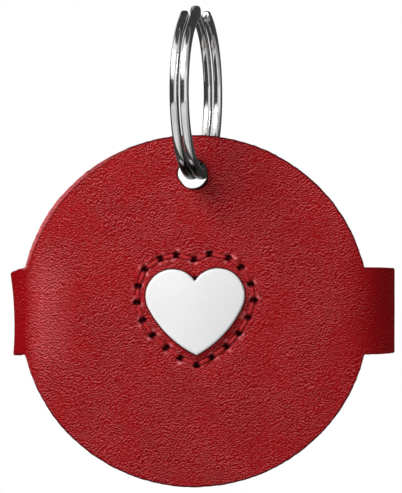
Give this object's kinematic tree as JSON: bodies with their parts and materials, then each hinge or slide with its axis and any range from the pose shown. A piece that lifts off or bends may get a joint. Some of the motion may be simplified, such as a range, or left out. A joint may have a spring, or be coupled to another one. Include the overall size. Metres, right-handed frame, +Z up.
{
  "type": "bluetooth tracker tag",
  "caption": "Round leather tag with a heart push button, holding a round tracker behind a snap strap and hanging from a split ring.",
  "frame": {"origin": "hanging point inside the top of the split ring, where a hook carries it", "axes": "+Z up, the front with the heart faces -Y, +X to the right as the tag is looked at"},
  "size_m": [0.0651, 0.0314, 0.0824],
  "materials": {
    "ring_steel": "polished nickel-plated steel",
    "red_leather": "fine-grained red leather with a soft sheen",
    "lining_leather": "matt red split leather",
    "thread": "waxed red thread",
    "snap_metal": "polished nickel",
    "heart_plastic": "white gloss plastic",
    "case_plastic": "white satin plastic",
    "seal_rubber": "grey silicone",
    "screw_steel": "zinc-plated steel",
    "board": "green solder mask",
    "black_plastic": "black moulded plastic",
    "shield_metal": "tinned sheet",
    "chip_ceramic": "fired ceramic",
    "cell_metal": "brushed nickel can",
    "contact_metal": "gold-plated spring strip"
  },
  "bodies": {
    "ring": {"split_ring": "ring_steel"},
    "tag": {"front_leather": "red_leather", "heart_lining": "lining_leather", "front_stitches": "thread", "back_stitches": "thread", "snap_stud": "snap_metal", "snap_post": "snap_metal", "button_seal": "seal_rubber", "front_housing": "case_plastic", "rear_housing": "case_plastic", "housing_gasket": "seal_rubber", "housing_screws": "screw_steel", "circuit_board": "board", "tact_switch": "black_plastic", "radio_shield": "shield_metal", "chip_antenna": "chip_ceramic", "crystal": "shield_metal", "capacitors": "chip_ceramic", "sounder": "black_plastic", "sounder_gasket": "seal_rubber", "coin_cell": "cell_metal", "cell_cradle": "black_plastic", "positive_contact": "contact_metal", "negative_contact": "contact_metal"},
    "button": {"heart_button": "heart_plastic"},
    "plunger": {"switch_plunger": "case_plastic"},
    "flap": {"strap_flap": "red_leather", "snap_cap": "snap_metal", "snap_socket": "snap_metal"},
    "door": {"battery_door": "case_plastic", "door_pad": "seal_rubber"}
  },
  "joints": [
    {"name": "tag_swing", "type": "hinge", "parent": "ring", "child": "tag", "pos_m": [0, 0, -0.027], "axis": [0, 1, 0], "range_deg": [-60, 60]},
    {"name": "button_press", "type": "slide", "parent": "tag", "child": "button", "axis": [0, 1, 0], "range_m": [0, 0.0003], "stiffness_N_per_m": 4000},
    {"name": "plunger_press", "type": "slide", "parent": "tag", "child": "plunger", "axis": [0, 1, 0], "range_m": [0, 0.0003]},
    {"name": "flap_open", "type": "hinge", "parent": "tag", "child": "flap", "pos_m": [0.02587, 0.0156, -0.0504], "axis": [0, 0, -1], "range_deg": [0, 120]},
    {"name": "door_turn", "type": "hinge", "parent": "tag", "child": "door", "pos_m": [0, 0.01, -0.0554], "axis": [0, 1, 0], "range_deg": [0, 30]}
  ],
  "couplings": [
    {"joint": "plunger_press", "follows": "button_press", "ratio": 1}
  ]
}
